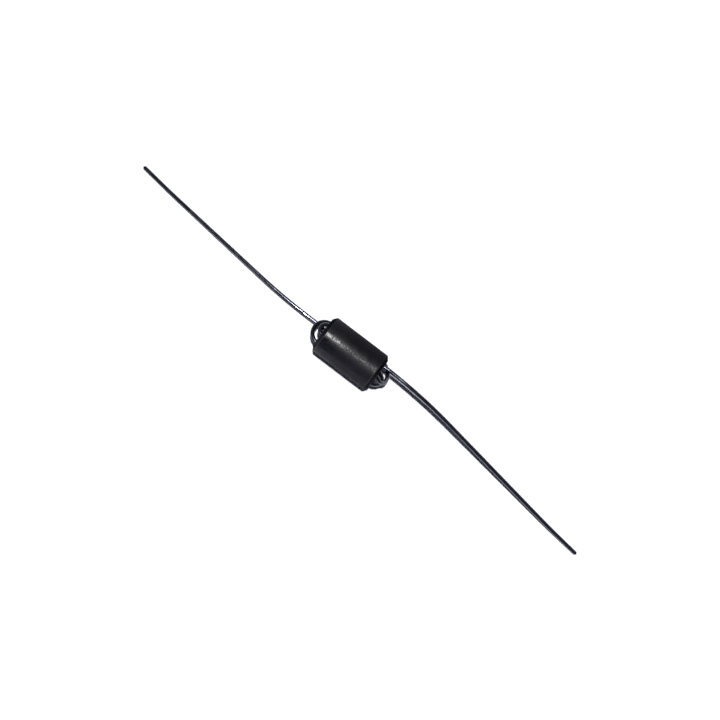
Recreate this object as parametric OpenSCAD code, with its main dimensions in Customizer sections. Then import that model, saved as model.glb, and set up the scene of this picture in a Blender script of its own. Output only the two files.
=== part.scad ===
// Wide-band choke: a six-hole ferrite core with one tinned copper wire threaded through it.
// The wire passes the core five times (two and a half turns) and leaves it at both ends.
// X runs along the core, from the end of the low lead to the end of the high lead, and Z is up.
// The origin is the middle of the core. Lengths are in millimetres.

/* [Core] */
// Diameter of the core
core_d = 6; // [5.8:0.1:6.6]
// Length of the core, end face to end face
core_len = 10; // [7:0.5:14]
// Length of the chamfer at each end, measured along the axis
chamfer_len = 0.5; // [0.3:0.05:0.8]
// Depth of the chamfer at each end, measured across the axis
chamfer_depth = 0.6; // [0.3:0.05:0.6]
// Radius left by tumbling on the edges of the chamfer
edge_r = 0.12; // [0.05:0.01:0.15]

/* [Holes] */
// Diameter of each of the six holes
hole_d = 0.8; // [0.75:0.05:0.9]
// Diameter of the circle that the holes stand on
pitch_d = 3.6; // [3.4:0.05:3.7]
// How far the ring of holes is turned about the axis, in degrees
holes_turn = -18; // [-24:1:-12]

/* [Wire] */
// Diameter of the bare wire
wire_d = 0.6; // [0.5:0.02:0.66]
// Length of the wedge that the side cutters leave on each wire end
nip_len = 0.2; // [0.1:0.05:0.4]

/* [Loops] */
// How far the loop across the whole ring stands out of its end face
wide_reach = 1.76; // [1.6:0.02:2]
// How far the loop between two neighbouring holes stands out
short_reach = 0.96; // [0.9:0.02:1.1]
// How far the loop that was pushed aside stands out
pushed_reach = 1.76; // [1.7:0.02:2]
// How far that loop was pushed aside, towards the loop beside it
push = 1; // [0.6:0.05:1.1]

/* [Leads] */
// Reach of the low lead beyond its end face
low_lead = 35.5; // [25:0.1:50]
// Reach of the high lead beyond its end face
high_lead = 38.9; // [25:0.1:50]
// Sideways position of the low lead's end
low_side = 3.45; // [2:0.05:6]
// Sideways position of the high lead's end
high_side = -3.4; // [-6:0.05:-2]
// Sideways step of the low lead where it leaves its hole
low_step = 0.18; // [0.05:0.01:0.25]
// Sideways step of the high lead where it leaves its hole
high_step = 0.08; // [0.05:0.01:0.25]

/* [Hidden] */
$fn = 48;

core_r = core_d / 2;
face_x = core_len / 2;
hole_r = hole_d / 2;
wire_r = wire_d / 2;
pitch_r = pitch_d / 2;
ferrite_colour = [0.17, 0.17, 0.19];
tin_colour = [0.74, 0.75, 0.77];

// The holes are numbered round the ring. Hole 4 stays empty.
low_hole = 5;
high_hole = 1;
function hole_at(i) = pitch_r * [cos(holes_turn + 60 * i), sin(holes_turn + 60 * i)];
function on_hole(i, x) = [x, hole_at(i)[0], hole_at(i)[1]];
function unit(v) = v / norm(v);
function flipped(list) = [for (i = [len(list) - 1 : -1 : 0]) list[i]];
function half_chord(i, j) = norm(hole_at(i) - hole_at(j)) / 2;

// A loop pulled tight starts to turn inside its holes, and its wire lies against both mouths.
// This is how deep the centre of such a loop lies inside the end face.
mouth_gap = 0.003;
function tight_sink(r) = sqrt((hole_r - wire_r - mouth_gap) * (2 * r - wire_r - hole_r - mouth_gap));

// The wire's route: each corner is [point, bend radius], with the wire straight between bends.
// A half-round loop is two square corners whose bends meet at the top of the loop. None stands out
// less than a tight one, which is what a loop with no reach of its own becomes.
function tight_reach(r) = r + wire_r - tight_sink(r);
function loop(i, j, side, reach = 0) = let (r = half_chord(i, j), out = max(reach, tight_reach(r)))
    [for (k = [i, j]) [on_hole(k, side * (face_x + out - wire_r)), r]];

// The pushed loop kinks where it leaves its holes and leans over towards the tight loop.
kink_r = 0.9;
lean_r = 1.35;
push_way = -[0, cos(holes_turn + 60), sin(holes_turn + 60)];
function pushed_top(i) = on_hole(i, face_x + pushed_reach - wire_r) + push * push_way;

// Each lead steps aside a little at the mouth of its hole, runs on nearly along the axis, sinks in
// one long bend, and ends on the surface that the core lies on.
crank_r = 3;
last_stretch = 5.5;
function lead_step(i, side, by) =
    [[on_hole(i, side * face_x), crank_r], [on_hole(i, side * (face_x + 0.9)) + [0, by, 0], crank_r]];
function near_end(end, from, by) = end + last_stretch * unit(from - end) + [0, by, 0];
// The long bend of a lead, made closer where its radius would not fit before the step
function long_bend(from, at, to, r) =
    let (angle = acos(min(1, unit(at - from) * unit(to - at))))
    [at, min(r, (norm(to - at) - 0.6) / tan(angle / 2))];
low_bend = on_hole(low_hole, -face_x - 7.4) + [0, low_step, 0];
low_end = [-face_x - low_lead, low_side, wire_r - core_r];
low_near = near_end(low_end, low_bend, -0.11);
low_steps = flipped(lead_step(low_hole, -1, low_step));
high_bend = on_hole(high_hole, face_x + 7.5) + [0, high_step - 0.2, 0];
high_end = [face_x + high_lead, high_side, wire_r - core_r];
high_near = near_end(high_end, high_bend, -0.15);
high_steps = lead_step(high_hole, 1, high_step);

route = concat(
    [[low_end, 0], [low_near, 150], long_bend(low_near, low_bend, low_steps[0][0], 83)],
    low_steps,
    loop(5, 3, 1),
    loop(3, 0, -1, wide_reach),
    [[on_hole(0, face_x), kink_r], [pushed_top(0), lean_r],
     [pushed_top(2), lean_r], [on_hole(2, face_x), kink_r]],
    loop(2, 1, -1, short_reach),
    high_steps,
    [long_bend(high_near, high_bend, high_steps[1][0], 61), [high_near, 150], [high_end, 0]]);

// Corner points become what a wire bender works from: feed, turn of the wire, bend angle and radius.
// They are kept to a thousandth of a unit, so that each piece ends exactly where the next starts.
last = len(route) - 1;
function thousandths(v) = round(1000 * v) / 1000;
way = [for (i = [0 : last - 1]) unit(route[i + 1][0] - route[i][0])];
bend = [for (i = [0 : last])
    i == 0 || i == last ? 0 : thousandths(acos(min(1, way[i - 1] * way[i])))];
bend_r = [for (corner = route) thousandths(corner[1])];
cut_back = [for (i = [0 : last]) bend_r[i] * tan(bend[i] / 2)];
// Where two bends meet at the top of a loop, nothing is fed between them.
function fed(v) = assert(v > -0.003, "two bends run into each other") v < 0.003 ? 0 : thousandths(v);
feed = [for (i = [0 : last - 1])
    fed(norm(route[i + 1][0] - route[i][0]) - cut_back[i] - cut_back[i + 1])];
function across(v, d) = unit(v - (v * d) * d);
// The way each bend goes, square to the wire before it, and where that direction points after it
inward = [for (i = [0 : last]) i == 0 ? across([0, 0, 1], way[0]) :
    i == last ? across([0, 0, 1], way[last - 1]) : across(way[i], way[i - 1])];
carried = [for (i = [0 : last]) i == 0 || i == last ? inward[i] :
    cos(bend[i]) * inward[i] - sin(bend[i]) * way[i - 1]];
function turn(i) = let (d = way[i - 1])
    atan2(cross(carried[i - 1], inward[i]) * d, carried[i - 1] * inward[i]);

ferrite_core();
winding_wire();

// Half of the core's section, with a radius on both edges of each chamfer
module core_section() {
    slope = atan2(chamfer_depth, chamfer_len);
    rim = [core_r, face_x - chamfer_len];
    lip = [core_r - chamfer_depth, face_x];
    down = [-sin(slope), cos(slope)];
    rim_cut = edge_r * tan(slope / 2);
    lip_cut = edge_r * tan((90 - slope) / 2);
    for (m = [0, 1]) mirror([0, m]) {
        polygon([[0, 0], [core_r, 0], rim - [0, rim_cut], rim + rim_cut * down,
            lip - lip_cut * down, lip - [lip_cut, 0], [0, face_x]]);
        translate(rim - [edge_r, rim_cut]) circle(r = edge_r);
        translate(lip - [lip_cut, edge_r]) circle(r = edge_r);
    }
}

module ferrite_core() {
    color(ferrite_colour) rotate([0, 90, 0]) difference() {
        rotate_extrude() core_section();
        for (i = [0 : 5])
            translate([-hole_at(i)[1], hole_at(i)[0], -face_x - 1])
                cylinder(r = hole_r, h = core_len + 2);
    }
}

// One bend: the wire comes up +Z and turns towards +X
module bend_piece(r, a) {
    translate([r, 0, 0]) rotate([90, 0, 180])
        rotate_extrude(angle = a) translate([r, 0]) circle(r = wire_r);
}

// Carries what follows to the end of a bend, in a coarse and a fine move
module past_bend(r, a) {
    move = r * [1 - cos(a), 0, sin(a)];
    coarse = [for (m = move) thousandths(m)];
    translate(coarse) translate(move - coarse) rotate([0, a, 0]) children();
}

// Feeds and bends the wire from corner i on, each piece set on the end of the one before
module run_from(i) {
    length = feed[i] - (i == 0 ? nip_len : 0) - (i == last - 1 ? nip_len : 0);
    if (length > 0) cylinder(r = wire_r, h = length);
    translate([0, 0, length]) {
        if (i == last - 1) rotate([0, 0, turn(last)]) nip();
        else rotate([0, 0, turn(i + 1)]) {
            bend_piece(bend_r[i + 1], bend[i + 1]);
            past_bend(bend_r[i + 1], bend[i + 1]) run_from(i + 1);
        }
    }
}

// The cut end: two slopes that meet in a blunt ridge, which stands upright
module nip() {
    ridge = wire_r / 6;
    foot = 1.3 * wire_r;
    intersection() {
        cylinder(r = wire_r, h = nip_len);
        rotate([90, 0, 90]) translate([0, 0, -wire_d])
            linear_extrude(2 * wire_d)
                polygon([[-foot, 0], [foot, 0], [ridge, nip_len], [-ridge, nip_len]]);
    }
}

module winding_wire() {
    d = way[0];
    x = inward[0];
    y = cross(d, x);
    color(tin_colour) translate(route[0][0])
        multmatrix([[x[0], y[0], d[0], 0], [x[1], y[1], d[1], 0], [x[2], y[2], d[2], 0]]) {
            translate([0, 0, nip_len]) {
                mirror([0, 0, 1]) nip();
                run_from(0);
            }
        }
}
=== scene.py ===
import math
import random

import bmesh
import bpy
from mathutils import Matrix, Vector, noise


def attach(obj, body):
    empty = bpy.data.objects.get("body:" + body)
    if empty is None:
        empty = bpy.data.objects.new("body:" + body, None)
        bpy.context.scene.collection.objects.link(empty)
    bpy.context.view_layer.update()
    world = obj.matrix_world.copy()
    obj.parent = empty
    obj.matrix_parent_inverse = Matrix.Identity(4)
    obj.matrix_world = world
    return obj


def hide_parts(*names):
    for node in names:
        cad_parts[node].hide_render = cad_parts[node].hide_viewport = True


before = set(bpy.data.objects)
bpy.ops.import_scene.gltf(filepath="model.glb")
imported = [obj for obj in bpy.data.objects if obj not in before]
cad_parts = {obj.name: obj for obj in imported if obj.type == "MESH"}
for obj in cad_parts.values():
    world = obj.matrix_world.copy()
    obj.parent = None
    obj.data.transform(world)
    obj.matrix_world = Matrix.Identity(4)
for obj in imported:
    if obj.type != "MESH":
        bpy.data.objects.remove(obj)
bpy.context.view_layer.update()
mm = 0.001      # metres, every size below is in millimetres
print("frame loaded")

# the ring of holes: the core is bored by them and the wire runs through them
holes = {
    "count": 6,
    "diameter": 0.8,
    "circle": 3.6,      # diameter of the circle that they stand on
    "turn": -18.0,      # degrees, how far the ring is turned about the axis
}


def holeAt(i):
    turned = math.radians(holes["turn"] + 360 / holes["count"] * i)
    return Vector((0, math.cos(turned), math.sin(turned))) * holes["circle"] / 2


def onHole(i, x):
    return holeAt(i) + Vector((x, 0, 0))


def finishPiece(bm, name, node, materials):
    gaps = [e for e in bm.edges if not e.is_manifold]
    print(name, "has", len(bm.faces), "faces and", len(gaps), "open edges")
    bmesh.ops.scale(bm, vec=(mm, mm, mm), verts=bm.verts)
    mesh = bpy.data.meshes.new(name)
    bm.to_mesh(mesh)
    bm.free()
    for material in materials:
        mesh.materials.append(material)
    piece = bpy.data.objects.new(name, mesh)
    bpy.context.scene.collection.objects.link(piece)
    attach(piece, "root")
    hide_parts(node)


# small helpers for materials
def startMaterial(name):
    material = bpy.data.materials.new(name)
    material.use_nodes = True
    return material, material.node_tree, material.node_tree.nodes["Principled BSDF"]


def addNode(tree, kind, inputs=None, **settings):
    node = tree.nodes.new("ShaderNode" + kind)
    for key, value in settings.items():
        setattr(node, key, value)
    for key, value in (inputs or {}).items():
        if isinstance(value, bpy.types.NodeSocket):
            tree.links.new(value, node.inputs[key])
        else:
            node.inputs[key].default_value = value
    return node


def ranged(tree, value, low, high, outLow=0.0, outHigh=1.0):
    return addNode(tree, "MapRange", {"Value": value, "From Min": low, "From Max": high,
                                      "To Min": outLow, "To Max": outHigh}).outputs["Result"]


def maths(tree, operation, a, b=0.0):
    return addNode(tree, "Math", {0: a, 1: b}, operation=operation).outputs[0]


def added(tree, first, *others):
    for other in others:
        first = maths(tree, "ADD", first, other)
    return first


def multiplied(tree, first, *others):
    for other in others:
        first = maths(tree, "MULTIPLY", first, other)
    return first


def noiseAt(tree, place, scale, detail=2.0, rough=0.5):
    return addNode(tree, "TexNoise", {"Vector": place, "Scale": scale, "Detail": detail,
                                      "Roughness": rough}).outputs["Fac"]


def cellsAt(tree, place, scale, channel):
    cells = addNode(tree, "TexVoronoi", {"Vector": place, "Scale": scale}).outputs["Color"]
    return addNode(tree, "SeparateColor", {0: cells}).outputs[channel]


def mixedColour(tree, factor, a, b):
    return addNode(tree, "Mix", {"Factor": factor, "A": a, "B": b}, data_type="RGBA").outputs["Result"]


def placeInMm(tree):
    metres = addNode(tree, "TexCoord").outputs["Object"]
    place = addNode(tree, "Mapping", {"Vector": metres, "Scale": (1 / mm, 1 / mm, 1 / mm)}).outputs[0]
    return place, addNode(tree, "SeparateXYZ", {0: place}).outputs


# ferrite core
core = {
    "diameter": 6.0,
    "length": 10.0,
    "chamferLength": 0.5,
    "chamferDepth": 0.6,
    "edgeRadius": 0.12,     # rounding of the chamfer's two edges
    "mouthRadius": 0.04,    # rounding of the hole mouths
    "flatRing": 0.06,       # flat band between the chamfer's edge and the bored face
    "holdRing": 0.01,       # a narrow ring at each rim keeps the barrel's shading straight
    "roundSteps": 256,
    "edgeSteps": 6,
    "chamferSteps": 6,
    "ringSteps": 2,
    "barrelSteps": 60,
    "holeSteps": 48,
    "mouthSteps": 4,
    "tubeSteps": 10,
    "wearWidth": 0.1,       # how far from a chamfer's edge it is rubbed
    "chips": 26,
    "chipWidth": (0.08, 0.22),
    "chipDepth": (0.01, 0.035),
    "seed": 4,
}

# rows of four read: from, to, value at the first, value at the second
ferriteLook = {
    "grainScale": 7.0,      # patterns to the millimetre
    "cloudScale": 0.7,
    "fineScale": 22.0,
    "paintedGlintScale": 9.0,
    "speckScale": 6.0,
    "dark": (0.0008, 0.0008, 0.0034, 1),
    "pale": (0.0095, 0.0093, 0.0145, 1),
    "rubbed": (0.065, 0.065, 0.07, 1),
    "grainTone": (0.35, 0.7, 0.0, 1.0),
    "paintedGlintTone": (0.8, 1.0, 0.0, 1.0),
    "paintedGlintShare": 0.5,
    "paintedSideShade": (1.0, -2.2, -0.9, 1.0),     # over Y, painted shade: the +Y flank darker, the −Y side paler
    "rubbedSideShade": (1.2, -0.8, 0.2, 1.0),    # over Y, painted shade: the rubbed edges kept faint on the +Y flank
    "rubbedGrain": (0.3, 0.6, 0.0, 1.0),
    "satin": 0.52,          # roughness of the plain barrel
    "shine": 0.25,          # roughness that the shinier end loses
    "shineRun": (-4.7, 0.5, 1.0, 0.0),      # over X
    "shineCurve": 1.2,
    "backMatt": (1.2, 2.1, 0.0, 0.48),      # over Y, roughness that each flank gains
    "frontMatt": (-1.8, -2.6, 0.0, 0.3),
    "endMatt": (4.5, 4.56, 0.0, 0.4),       # over the way from the middle, on both ends
    "speckRough": (0.0, 1.0, -0.12, 0.12),
    "fineHeight": 0.5,
    "bump": 0.1,
    "bumpDepth": 0.00005,   # metres
    "tint": (1.0, 0.97, 1.0, 1),
    "barrelIor": 1.37,
    "endIor": 1.15,
}


def ferriteMaterial(name, ior):
    look = ferriteLook
    material, tree, shader = startMaterial(name)
    place, (x, y, _) = placeInMm(tree)
    grain = noiseAt(tree, place, look["grainScale"], detail=4.0, rough=0.7)
    cloud = noiseAt(tree, place, look["cloudScale"], detail=3.0)
    fine = noiseAt(tree, place, look["fineScale"])
    # painted glints: a share of small cells is painted paler in the colour
    paintedGlint = ranged(tree, cellsAt(tree, place, look["paintedGlintScale"], 0), *look["paintedGlintTone"])
    speck = cellsAt(tree, place, look["speckScale"], 1)

    # random grain, with the painted glints and painted shade that darkens the +Y flank
    toneWithPaintedLight = added(tree, ranged(tree, grain, *look["grainTone"]),
                 multiplied(tree, paintedGlint, look["paintedGlintShare"]),
                 ranged(tree, y, *look["paintedSideShade"]))
    colour = mixedColour(tree, toneWithPaintedLight, look["dark"], look["pale"])
    # the pale rubbed chamfer edges are real wear; painted shade keeps them faint on the +Y flank
    worn = addNode(tree, "Attribute", attribute_name="edgeWear").outputs["Fac"]
    rubbed = multiplied(tree, worn, ranged(tree, y, *look["rubbedSideShade"]),
                        ranged(tree, grain, *look["rubbedGrain"]))
    colour = mixedColour(tree, rubbed, colour, look["rubbed"])
    tree.links.new(colour, shader.inputs["Base Color"])

    # shinier towards the low end, duller on both flanks, and matt on the chamfers and end faces
    shine = maths(tree, "POWER", ranged(tree, x, *look["shineRun"]), look["shineCurve"])
    satin = maths(tree, "SUBTRACT", look["satin"], multiplied(tree, shine, look["shine"]))
    flanks = added(tree, ranged(tree, added(tree, y, cloud), *look["backMatt"]),
                   ranged(tree, y, *look["frontMatt"]))
    ends = ranged(tree, maths(tree, "ABSOLUTE", x), *look["endMatt"])
    rough = added(tree, satin, flanks, ends, ranged(tree, speck, *look["speckRough"]))
    tree.links.new(rough, shader.inputs["Roughness"])

    height = added(tree, grain, multiplied(tree, fine, look["fineHeight"]))
    bump = addNode(tree, "Bump", {"Height": height, "Strength": look["bump"],
                                  "Distance": look["bumpDepth"]})
    tree.links.new(bump.outputs[0], shader.inputs["Normal"])
    shader.inputs["IOR"].default_value = ior
    shader.inputs["Specular Tint"].default_value = look["tint"]
    return material


def penLine(bm, pen, move, steps=1):
    for _ in range(steps):
        made = bmesh.ops.extrude_vert_indiv(bm, verts=[pen])
        pen = made["verts"][0]
        bmesh.ops.translate(bm, vec=move / steps, verts=[pen])
    return pen


def penArc(bm, pen, centre, degrees, steps):
    made = bmesh.ops.spin(bm, geom=[pen], cent=centre, axis=(0, 0, 1),
                          angle=math.radians(degrees), steps=steps)
    return made["geom_last"][0]


def spinRound(bm, steps):
    bmesh.ops.spin(bm, geom=bm.verts[:] + bm.edges[:], cent=(0, 0, 0), axis=(1, 0, 0),
                   angle=math.tau, steps=steps, use_merge=True)


def turnShell(bm, size):
    # half of the section is drawn from the left face over the barrel to the right face, then spun
    r, faceX, edge = size["diameter"] / 2, size["length"] / 2, size["edgeRadius"]
    slope = math.degrees(math.atan2(size["chamferDepth"], size["chamferLength"]))
    rimCut = edge * math.tan(math.radians(slope / 2))
    lipCut = edge * math.tan(math.radians((90 - slope) / 2))
    rimX = faceX - size["chamferLength"] - rimCut
    lipR = r - size["chamferDepth"] - lipCut
    slant = math.hypot(size["chamferLength"], size["chamferDepth"]) - rimCut - lipCut
    up = Vector((math.cos(math.radians(slope)), math.sin(math.radians(slope)), 0)) * slant
    down = Vector((up.x, -up.y, 0))
    flat = Vector((0, size["flatRing"], 0))
    hold = Vector((size["holdRing"], 0, 0))
    barrel = Vector((2 * rimX, 0, 0)) - 2 * hold

    pen = bmesh.ops.create_vert(bm, co=Vector((-faceX, lipR, 0)) - flat)["vert"][0]
    pen = penLine(bm, pen, flat, size["ringSteps"])
    pen = penArc(bm, pen, (-faceX + edge, lipR, 0), slope - 90, size["edgeSteps"])
    pen = penLine(bm, pen, up, size["chamferSteps"])
    pen = penArc(bm, pen, (-rimX, r - edge, 0), -slope, size["edgeSteps"])
    pen = penLine(bm, pen, hold)
    pen = penLine(bm, pen, barrel, size["barrelSteps"])
    pen = penLine(bm, pen, hold)
    pen = penArc(bm, pen, (rimX, r - edge, 0), -slope, size["edgeSteps"])
    pen = penLine(bm, pen, down, size["chamferSteps"])
    pen = penArc(bm, pen, (faceX - edge, lipR, 0), slope - 90, size["edgeSteps"])
    penLine(bm, pen, -flat, size["ringSteps"])
    spinRound(bm, size["roundSteps"])


def chamferEdges(size):
    # how far along the axis and how far out each chamfer's two edges stand
    r, faceX = size["diameter"] / 2, size["length"] / 2
    return (faceX, r - size["chamferDepth"]), (faceX - size["chamferLength"], r)


def wearEdges(bm, size):
    wearLayer = bm.verts.layers.float.new("edgeWear")
    for v in bm.verts:
        out = math.hypot(v.co.y, v.co.z)
        for x, radius in chamferEdges(size):
            gap = math.hypot(abs(v.co.x) - x, out - radius)
            v[wearLayer] = max(v[wearLayer], 1 - gap / size["wearWidth"])


def chipEdges(bm, size):
    dice = random.Random(size["seed"])
    chips = []
    for _ in range(size["chips"]):
        side = dice.choice((-1, 1))
        turned = dice.uniform(0, math.tau)
        x, radius = dice.choice(chamferEdges(size))
        centre = Vector((side * x, radius * math.cos(turned), radius * math.sin(turned)))
        chips.append((centre, dice.uniform(*size["chipWidth"]), dice.uniform(*size["chipDepth"])))
    inner = [v for v in bm.verts if not v.is_boundary]
    for v in inner:
        for centre, reach, depth in chips:
            gap = (v.co - centre).length
            if gap < reach:
                v.co -= centre.normalized() * depth * (1 - (gap / reach) ** 2) ** 2


def boreHoles(bm, size):
    # each hole is a tube with rounded mouths, spun about its own axis
    faceX, mouth = size["length"] / 2, size["mouthRadius"]
    mouthR = holes["diameter"] / 2 + mouth
    for i in range(holes["count"]):
        tube = bmesh.new()
        pen = bmesh.ops.create_vert(tube, co=(-faceX, mouthR, 0))["vert"][0]
        pen = penArc(tube, pen, (-faceX + mouth, mouthR, 0), 90, size["mouthSteps"])
        pen = penLine(tube, pen, Vector((2 * (faceX - mouth), 0, 0)), size["tubeSteps"])
        penArc(tube, pen, (faceX - mouth, mouthR, 0), 90, size["mouthSteps"])
        spinRound(tube, size["holeSteps"])
        bmesh.ops.translate(tube, vec=holeAt(i), verts=tube.verts)
        part = bpy.data.meshes.new("holeTube")
        tube.to_mesh(part)
        tube.free()
        bm.from_mesh(part)
        bpy.data.meshes.remove(part)


def closeFaces(bm, faceX):
    # the flat faces fill the plane between the lip and the mouths
    for side in (-1, 1):
        rims = [e for e in bm.edges if e.is_boundary
                and all(v.co.x * side > faceX / 2 for v in e.verts)]
        for e in rims:
            e.smooth = False
        bmesh.ops.triangle_fill(bm, use_beauty=True, edges=rims, normal=(side, 0, 0))


def buildCore():
    size = core
    faceX = size["length"] / 2
    bm = bmesh.new()
    turnShell(bm, size)
    wearEdges(bm, size)
    chipEdges(bm, size)
    boreHoles(bm, size)
    closeFaces(bm, faceX)
    bmesh.ops.recalc_face_normals(bm, faces=bm.faces)
    for f in bm.faces:      # the chamfers and the end faces take the second material
        f.smooth = True
        f.material_index = int(abs(f.calc_center_median().x) > faceX - size["chamferLength"])
    finishPiece(bm, "ferriteCore", "ferrite_core",
                  [ferriteMaterial("sinteredFerrite", ferriteLook["barrelIor"]),
                   ferriteMaterial("groundFerrite", ferriteLook["endIor"])])


# winding wire
wire = {
    "diameter": 0.6,
    "wideReach": 1.76,      # how far each loop stands out from its end face
    "shortReach": 0.96,
    "pushedReach": 1.76,
    "push": 1.0,            # how far the pushed loop leans in over the face
    "mouthGap": 0.003,      # left between the tight loops and the hole mouths
    "kinkRadius": 0.9,      # bends at the feet and at the top of the pushed loop
    "leanRadius": 1.35,
    "crankLength": 0.9,     # each lead steps sideways over this length
    "crankRadius": 3.0,
    "lowStep": 0.18,
    "highStep": 0.08,
    "lowLead": 35.5,        # how far each lead runs beyond its end face, and to which side
    "lowSide": 3.45,
    "highLead": 38.9,
    "highSide": -3.4,
    "lowBendAt": 7.4,       # corner of each lead's slow bend, beyond its end face
    "highBendAt": 7.5,
    "highBendSide": -0.2,
    "lowRadius": 83,
    "highRadius": 61,
    "lastStretch": 5.5,     # straight end of each lead, with a slight bend before it
    "lowEndSide": -0.11,
    "highEndSide": -0.15,
    "endRadius": 150,
    "roundSteps": 32,
    "feedStep": 0.35,
    "shortestFeed": 0.003,
    "bendStep": 5.0,        # degrees
    "nipLength": 0.19,
    "nipThin": 0.12,        # thickness left at the tip of the nip, as a share of the diameter
    "nipTall": 0.88,        # height left there
    "nipCurve": 1.2,
    "nipSteps": 5,
    "dent": 0.004,          # depth of the unevenness of the tinned surface
    "dentShare": 0.5,
    "dentSwing": 0.1,
    "dentScale": 1.7,       # dents to the millimetre
    "fineDentScale": 6,
    "fineDentShare": 0.2,
}

# rows of four read: from, to, value at the first, value at the second
wireLook = {
    "lineScale": 9.0,       # patterns to the millimetre
    "lineStretch": 0.06,    # the draw lines run long along the wire
    "patchScale": 0.9,
    "dark": (0.08, 0.087, 0.112, 1),
    "pale": (0.125, 0.131, 0.158, 1),
    # painted shade for the loops and the low lead near the core
    "paintedShade": (0.03, 0.032, 0.045, 1),
    "metal": 0.88,
    "patchTone": (0.35, 0.65, 0.0, 1.0),
    "leadShadeFrom": (-19.0, -12.5, 0.0, 1.0),   # over X
    "leadShadeTo": (-11.0, -4.8, 1.0, 0.0),
    "leadDullRough": 0.06,
    "loopPaintedShade": (6.4, 7.4, 0.6, 0.0),           # over the way from the middle
    "scuffRun": (6.5, 9.5, 1.0, 0.0),
    "scuffRough": (0.35, 0.6, 0.0, 0.15),
    "patchRough": (0.3, 0.7, 0.06, 0.1),
    "lineRough": (0.3, 0.7, -0.02, 0.02),
    "bump": 0.05,
    "bumpDepth": 0.00002,   # metres
}


def wireMaterial():
    look = wireLook
    material, tree, shader = startMaterial("tinnedCopper")
    skin = addNode(tree, "Attribute", attribute_name="place").outputs["Vector"]
    drawn = addNode(tree, "Mapping", {"Vector": skin, "Scale": (1, 1, look["lineStretch"])}).outputs[0]
    lines = noiseAt(tree, drawn, look["lineScale"], detail=3.0)
    patch = noiseAt(tree, skin, look["patchScale"], detail=3.0)
    _, (x, _, _) = placeInMm(tree)
    out = maths(tree, "ABSOLUTE", x)

    # painted shade: the loops and the low lead near the core are painted darker than the rest, and
    # that stretch of lead is a little rougher
    leadShadeAndRough = multiplied(tree, ranged(tree, x, *look["leadShadeFrom"]),
                          ranged(tree, x, *look["leadShadeTo"]))
    paintedShade = maths(tree, "MAXIMUM", ranged(tree, out, *look["loopPaintedShade"]), leadShadeAndRough)
    colour = mixedColour(tree, ranged(tree, patch, *look["patchTone"]), look["dark"], look["pale"])
    colour = mixedColour(tree, paintedShade, colour, look["paintedShade"])
    tree.links.new(colour, shader.inputs["Base Color"])
    shader.inputs["Metallic"].default_value = look["metal"]

    scuffed = multiplied(tree, ranged(tree, out, *look["scuffRun"]),
                         ranged(tree, lines, *look["scuffRough"]))
    rough = added(tree, ranged(tree, patch, *look["patchRough"]),
                  ranged(tree, lines, *look["lineRough"]), scuffed,
                  multiplied(tree, leadShadeAndRough, look["leadDullRough"]))
    tree.links.new(rough, shader.inputs["Roughness"])
    bump = addNode(tree, "Bump", {"Height": lines, "Strength": look["bump"],
                                  "Distance": look["bumpDepth"]})
    tree.links.new(bump.outputs[0], shader.inputs["Normal"])
    return material


def tightReach(r, wireR):
    # how far a half round loop stands out when it lies against both its hole mouths
    holeR = holes["diameter"] / 2
    gap = wire["mouthGap"]
    return r + wireR - math.sqrt((holeR - wireR - gap) * (2 * r - wireR - holeR - gap))


def wireRoute(size):
    # the corners that the wire would have without its bends, each with its bend radius
    wireR, faceX = size["diameter"] / 2, core["length"] / 2
    tableZ = -core["diameter"] / 2

    def loop(i, j, side, reach=0):
        r = (holeAt(i) - holeAt(j)).length / 2
        out = max(reach, tightReach(r, wireR))
        return [(onHole(k, side * (faceX + out - wireR)), r) for k in (i, j)]

    def crank(i, side, by):
        return [(onHole(i, side * faceX), size["crankRadius"]),
                (onHole(i, side * (faceX + size["crankLength"])) + Vector((0, by, 0)),
                 size["crankRadius"])]

    def lastBend(end, start, by):
        return end + (start - end).normalized() * size["lastStretch"] + Vector((0, by, 0))

    def pushedTop(i):       # this loop leans away from hole 1
        lean = -holeAt(1).normalized() * size["push"]
        return onHole(i, faceX + size["pushedReach"] - wireR) + lean

    lowBend = onHole(5, -faceX - size["lowBendAt"]) + Vector((0, size["lowStep"], 0))
    lowEnd = Vector((-faceX - size["lowLead"], size["lowSide"], tableZ + wireR))
    highBend = (onHole(1, faceX + size["highBendAt"])
                + Vector((0, size["highStep"] + size["highBendSide"], 0)))
    highEnd = Vector((faceX + size["highLead"], size["highSide"], tableZ + wireR))
    # the wire runs through holes 5, 3, 0, 2 and 1, and hole 4 stays empty
    return ([(lowEnd, 0),
             (lastBend(lowEnd, lowBend, size["lowEndSide"]), size["endRadius"]),
             (lowBend, size["lowRadius"])]
            + crank(5, -1, size["lowStep"])[::-1]
            + loop(5, 3, 1)
            + loop(3, 0, -1, size["wideReach"])
            + [(onHole(0, faceX), size["kinkRadius"]), (pushedTop(0), size["leanRadius"]),
               (pushedTop(2), size["leanRadius"]), (onHole(2, faceX), size["kinkRadius"])]
            + loop(2, 1, -1, size["shortReach"])
            + crank(1, 1, size["highStep"])
            + [(highBend, size["highRadius"]),
               (lastBend(highEnd, highBend, size["highEndSide"]), size["endRadius"]),
               (highEnd, 0)])


def edgesIn(geom):
    return [g for g in geom if isinstance(g, bmesh.types.BMEdge)]


def ringVerts(ring):
    return list(dict.fromkeys(v for e in ring for v in e.verts))


def ringMiddle(ring):
    verts = ringVerts(ring)
    return sum((v.co for v in verts), Vector()) / len(verts)


def extrudedRing(bm, ring, move):
    ring = edgesIn(bmesh.ops.extrude_edge_only(bm, edges=ring)["geom"])
    ring = [e for e in ring if e.is_boundary]
    bmesh.ops.translate(bm, vec=move, verts=ringVerts(ring))
    return ring


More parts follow.
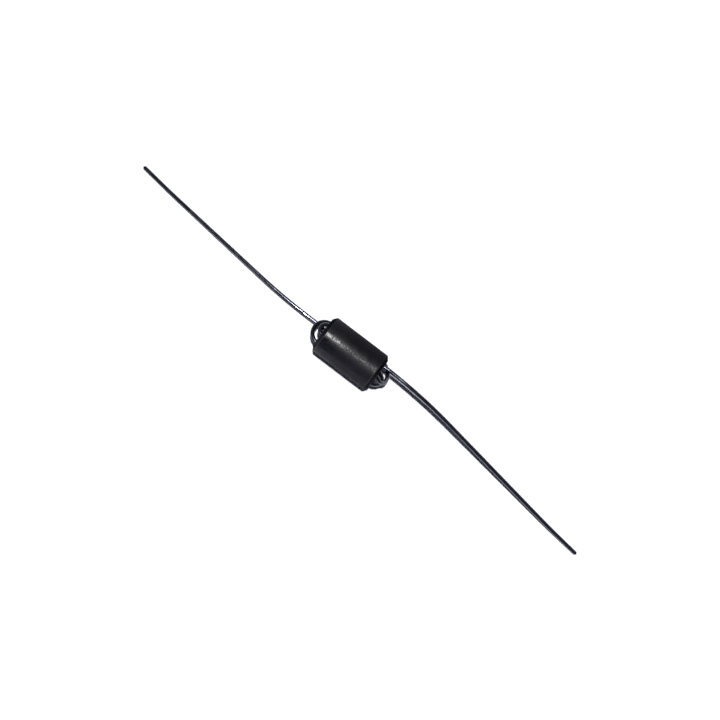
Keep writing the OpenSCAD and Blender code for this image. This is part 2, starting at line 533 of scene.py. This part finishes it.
def firstRing(bm, placeLayer, at, way, size):
    over = (Vector((0, 0, 1)) - way * way.z).normalized()
    seat = Matrix((over, way.cross(over), way)).transposed().to_4x4()
    seat.translation = at
    bmesh.ops.create_circle(bm, segments=size["roundSteps"], radius=size["diameter"] / 2)
    for v in bm.verts:      # the layer holds each point's place on the wire drawn straight
        v[placeLayer] = v.co
    bmesh.ops.transform(bm, matrix=seat, verts=bm.verts)
    return bm.edges[:]


def bendWire(bm, size):
    # the wire starts as one ring: each stretch is extruded and each bend is spun from the last
    route = wireRoute(size)
    points = [p for p, _ in route]
    ways = [(b - a).normalized() for a, b in zip(points, points[1:])]
    bends = [0.0] + [a.angle(b) for a, b in zip(ways, ways[1:])] + [0.0]
    cuts = [r * math.tan(bend / 2) for (_, r), bend in zip(route, bends)]
    feeds = [(b - a).length - cuts[i] - cuts[i + 1]
             for i, (a, b) in enumerate(zip(points, points[1:]))]
    feeds[0] -= size["nipLength"]
    feeds[-1] -= size["nipLength"]

    placeLayer = bm.verts.layers.float_vector.new("place")

    def marked(ring, step):
        for v in ringVerts(ring):
            v[placeLayer] += Vector((0, 0, step))
        return ring

    start = ring = firstRing(bm, placeLayer, points[0] + ways[0] * size["nipLength"], ways[0], size)
    for i, length in enumerate(feeds):
        steps = max(1, round(length / size["feedStep"]))
        if length > size["shortestFeed"]:
            for _ in range(steps):
                ring = marked(extrudedRing(bm, ring, ways[i] * length / steps), length / steps)
        if i == len(feeds) - 1:
            break
        radius, bend = route[i + 1][1], bends[i + 1]
        inward = (ways[i + 1] - ways[i] * ways[i + 1].dot(ways[i])).normalized()
        middle = ringMiddle(ring)
        steps = max(2, round(math.degrees(bend) / size["bendStep"]),
                    round(radius * bend / size["feedStep"]))
        for _ in range(steps):
            made = bmesh.ops.spin(bm, geom=ring + ringVerts(ring), cent=middle + inward * radius,
                                  axis=ways[i].cross(inward), angle=bend / steps, steps=1)
            ring = marked(edgesIn(made["geom_last"]), radius * bend / steps)
    return (start, -ways[0]), (ring, ways[-1])


def dentSkin(bm, size):
    # the tinned skin is never quite even
    placeLayer = bm.verts.layers.float_vector["place"]
    bm.normal_update()
    for v in bm.verts:
        place = Vector(v[placeLayer])
        rise = (noise.noise(place * size["dentScale"])
                + size["fineDentShare"] * noise.noise(place * size["fineDentScale"]))
        v.co -= v.normal * size["dent"] * (size["dentShare"] + size["dentSwing"] * rise)


def nipEnd(bm, ring, outward, size):
    side = outward.cross(Vector((0, 0, 1))).normalized()
    local = Matrix((side, side.cross(outward), outward)).transposed().to_4x4()
    local.translation = ringMiddle(ring)
    steps = size["nipSteps"]
    thin, tall = 1.0, 1.0
    for step in range(1, steps + 1):
        share = step / steps
        ring = extrudedRing(bm, ring, outward * size["nipLength"] / steps)
        newThin = 1 - (1 - size["nipThin"]) * share ** size["nipCurve"]
        newTall = 1 - (1 - size["nipTall"]) * share
        bmesh.ops.scale(bm, vec=(newThin / thin, newTall / tall, 1), space=local.inverted(),
                        verts=ringVerts(ring))
        thin, tall = newThin, newTall
    for e in ring:
        e.smooth = False
    bmesh.ops.holes_fill(bm, edges=ring, sides=0)


def buildWire():
    bm = bmesh.new()
    ends = bendWire(bm, wire)
    dentSkin(bm, wire)
    for ring, outward in ends:
        nipEnd(bm, ring, outward, wire)
    bmesh.ops.recalc_face_normals(bm, faces=bm.faces)
    for f in bm.faces:
        f.smooth = True
    finishPiece(bm, "windingWire", "winding_wire", [wireMaterial()])


# the stage
table = {
    "half": 1500,           # half of its side
    "lit": (0.8, 0.8, 0.8, 1),
    "shown": (1.15, 1.15, 1.16, 1),     # what the camera and the mirrors see of it
    "roughness": 0.9,
}
lamp = {
    "strength": 3.05,
    "tilt": 8.7,            # degrees from straight above
    "way": 109,             # the way it leans, 0 is +X and 90 is +Y
    "spread": 3.0,          # degrees across
}
sky = {
    "horizon": (1.0, 1.02, 1.3, 1),
    "above": (0.012, 0.014, 0.026, 1),
    "fade": (0.04, 0.16, 1.0, 0.0),     # over the height, how much of the horizon is left
}
view = {
    "roll": math.degrees(math.atan2(0.605, 0.796)),     # how the picture is turned about +Z
    "height": 250.0,        # camera above the middle of the core
    "scale": 6.93,          # pixels to the millimetre at the middle of the core
    "pixels": 720,
    "aim": (1.678, 0.0725),     # the point in the middle of the picture
    "sensor": 36,
    "nearest": 5,
    "furthest": 10000,
}


def buildTable():
    bm = bmesh.new()
    bmesh.ops.create_grid(bm, x_segments=1, y_segments=1, size=table["half"] * mm)
    bmesh.ops.translate(bm, vec=(0, 0, -core["diameter"] / 2 * mm), verts=bm.verts)
    mesh = bpy.data.meshes.new("floor")
    bm.to_mesh(mesh)
    bm.free()
    material, tree, shader = startMaterial("whiteTable")
    shader.inputs["Roughness"].default_value = table["roughness"]
    shader.inputs["Specular IOR Level"].default_value = 0.0
    ray = addNode(tree, "LightPath").outputs
    shown = maths(tree, "MAXIMUM", ray["Is Camera Ray"], ray["Is Glossy Ray"])
    shown = maths(tree, "MAXIMUM", shown, ray["Is Transmission Ray"])
    tree.links.new(mixedColour(tree, shown, table["lit"], table["shown"]),
                   shader.inputs["Base Color"])
    mesh.materials.append(material)
    floor = bpy.data.objects.new("floor", mesh)
    bpy.context.scene.collection.objects.link(floor)


def buildLamp():
    sun = bpy.data.lights.new("key", "SUN")
    sun.energy = lamp["strength"]
    sun.angle = math.radians(lamp["spread"])
    seat = bpy.data.objects.new("key", sun)
    seat.rotation_euler = (Matrix.Rotation(math.radians(lamp["way"]), 3, "Z")
                           @ Matrix.Rotation(math.radians(lamp["tilt"]), 3, "Y")).to_euler()
    bpy.context.scene.collection.objects.link(seat)


def buildSky():
    world = bpy.data.worlds.new("studio")
    bpy.context.scene.world = world
    world.use_nodes = True
    tree = world.node_tree
    direction = addNode(tree, "TexCoord").outputs["Generated"]
    height = addNode(tree, "SeparateXYZ", {0: direction}).outputs["Z"]
    pale = ranged(tree, height, *sky["fade"])
    tree.links.new(mixedColour(tree, pale, sky["above"], sky["horizon"]),
                   tree.nodes["Background"].inputs["Color"])


def buildCamera():
    camera = bpy.data.cameras.new("camera")
    across = view["pixels"] / view["scale"]     # millimetres across the picture at the core
    camera.sensor_width = view["sensor"]
    camera.lens = view["sensor"] * view["height"] / across
    camera.clip_start = view["nearest"] * mm
    camera.clip_end = view["furthest"] * mm
    seat = bpy.data.objects.new("camera", camera)
    seat.location = [c * mm for c in (*view["aim"], view["height"])]
    seat.rotation_euler = (0, 0, math.radians(view["roll"]))
    bpy.context.scene.collection.objects.link(seat)
    bpy.context.scene.camera = seat
    bpy.context.scene.view_settings.view_transform = "Standard"


buildCore()
print("core built")
buildWire()
print("wire built")
buildTable()
buildLamp()
buildSky()
buildCamera()
print("stage set")
